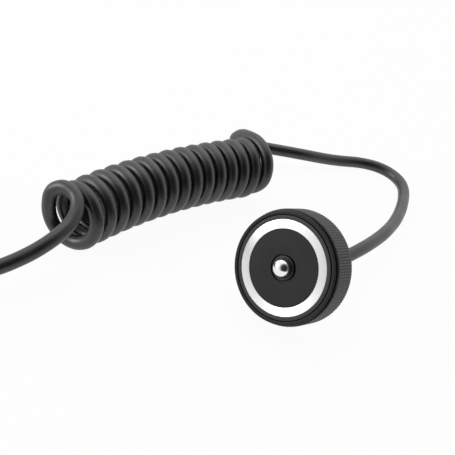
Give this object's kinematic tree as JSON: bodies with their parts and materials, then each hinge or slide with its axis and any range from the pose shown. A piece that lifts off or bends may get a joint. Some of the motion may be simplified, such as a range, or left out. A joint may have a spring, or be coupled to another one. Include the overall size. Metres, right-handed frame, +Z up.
{
  "type": "electric cable shutter release",
  "caption": "Round knurled hand piece with a ball-nosed push button, a curly cord and a small jack plug, for firing a camera's shutter from a distance.",
  "frame": {"origin": "on the surface under the middle of the hand piece and its strain relief; the cord and plug lie on the same surface", "axes": "+Z up; -Y the way the button's face looks (it also leans back 18.8 degrees); +X to the right as one faces the button"},
  "size_m": [0.1321, 0.1747, 0.0306],
  "materials": {
    "black_anodised": "satin black anodised, turned",
    "knurled_black": "straight-knurled, black anodised",
    "black_plastic": "black moulded",
    "seal_rubber": "black",
    "bezel_black": "satin black",
    "brushed_trim": "bright, fine-turned",
    "matt_face": "matt black",
    "dark_bush": "black anodised, worn satin",
    "polished_steel": "polished",
    "spring_steel": "bright",
    "white_insulator": "natural",
    "contact_brass": "bright",
    "board_laminate": "brown laminate",
    "wire_black": "insulated wire",
    "wire_white": "insulated wire",
    "wire_red": "insulated wire",
    "soft_black": "soft black moulding",
    "cord_jacket": "matt black jacket",
    "plug_black": "black moulded",
    "jack_metal": "nickel plated",
    "jack_insulator": "black"
  },
  "bodies": {
    "hand_piece": {"front_cap": "black_anodised", "grip_ring": "knurled_black", "rear_housing": "black_plastic", "seal_ring": "seal_rubber", "face_carrier": "bezel_black", "trim_ring": "brushed_trim", "face_disc": "matt_face", "guide_bush": "dark_bush", "return_spring": "spring_steel", "spring_seat": "spring_steel", "contact_board": "board_laminate", "solder_pins": "contact_brass", "release_contacts": "contact_brass", "focus_leaf": "contact_brass", "common_conductor": "wire_black", "focus_conductor": "wire_white", "release_conductor": "wire_red", "strain_relief": "soft_black", "cord_head_tail": "cord_jacket", "cord_coil": "cord_jacket", "cord_plug_tail": "cord_jacket", "plug_boot": "soft_black", "plug_shell": "plug_black", "jack_sleeve": "jack_metal", "jack_rear_band": "jack_insulator", "jack_ring": "jack_metal", "jack_front_band": "jack_insulator", "jack_tip": "jack_metal"},
    "button": {"push_button": "polished_steel", "retaining_clip": "spring_steel", "insulating_collar": "white_insulator", "contact_plate": "contact_brass"}
  },
  "joints": [
    {"name": "button_press", "type": "slide", "parent": "hand_piece", "child": "button", "axis": [0, 0.9466, -0.3223], "range_m": [0, 0.0015], "stiffness_N_per_m": 900, "springref_m": -0.001, "deforming": ["return_spring", "focus_leaf"]}
  ]
}
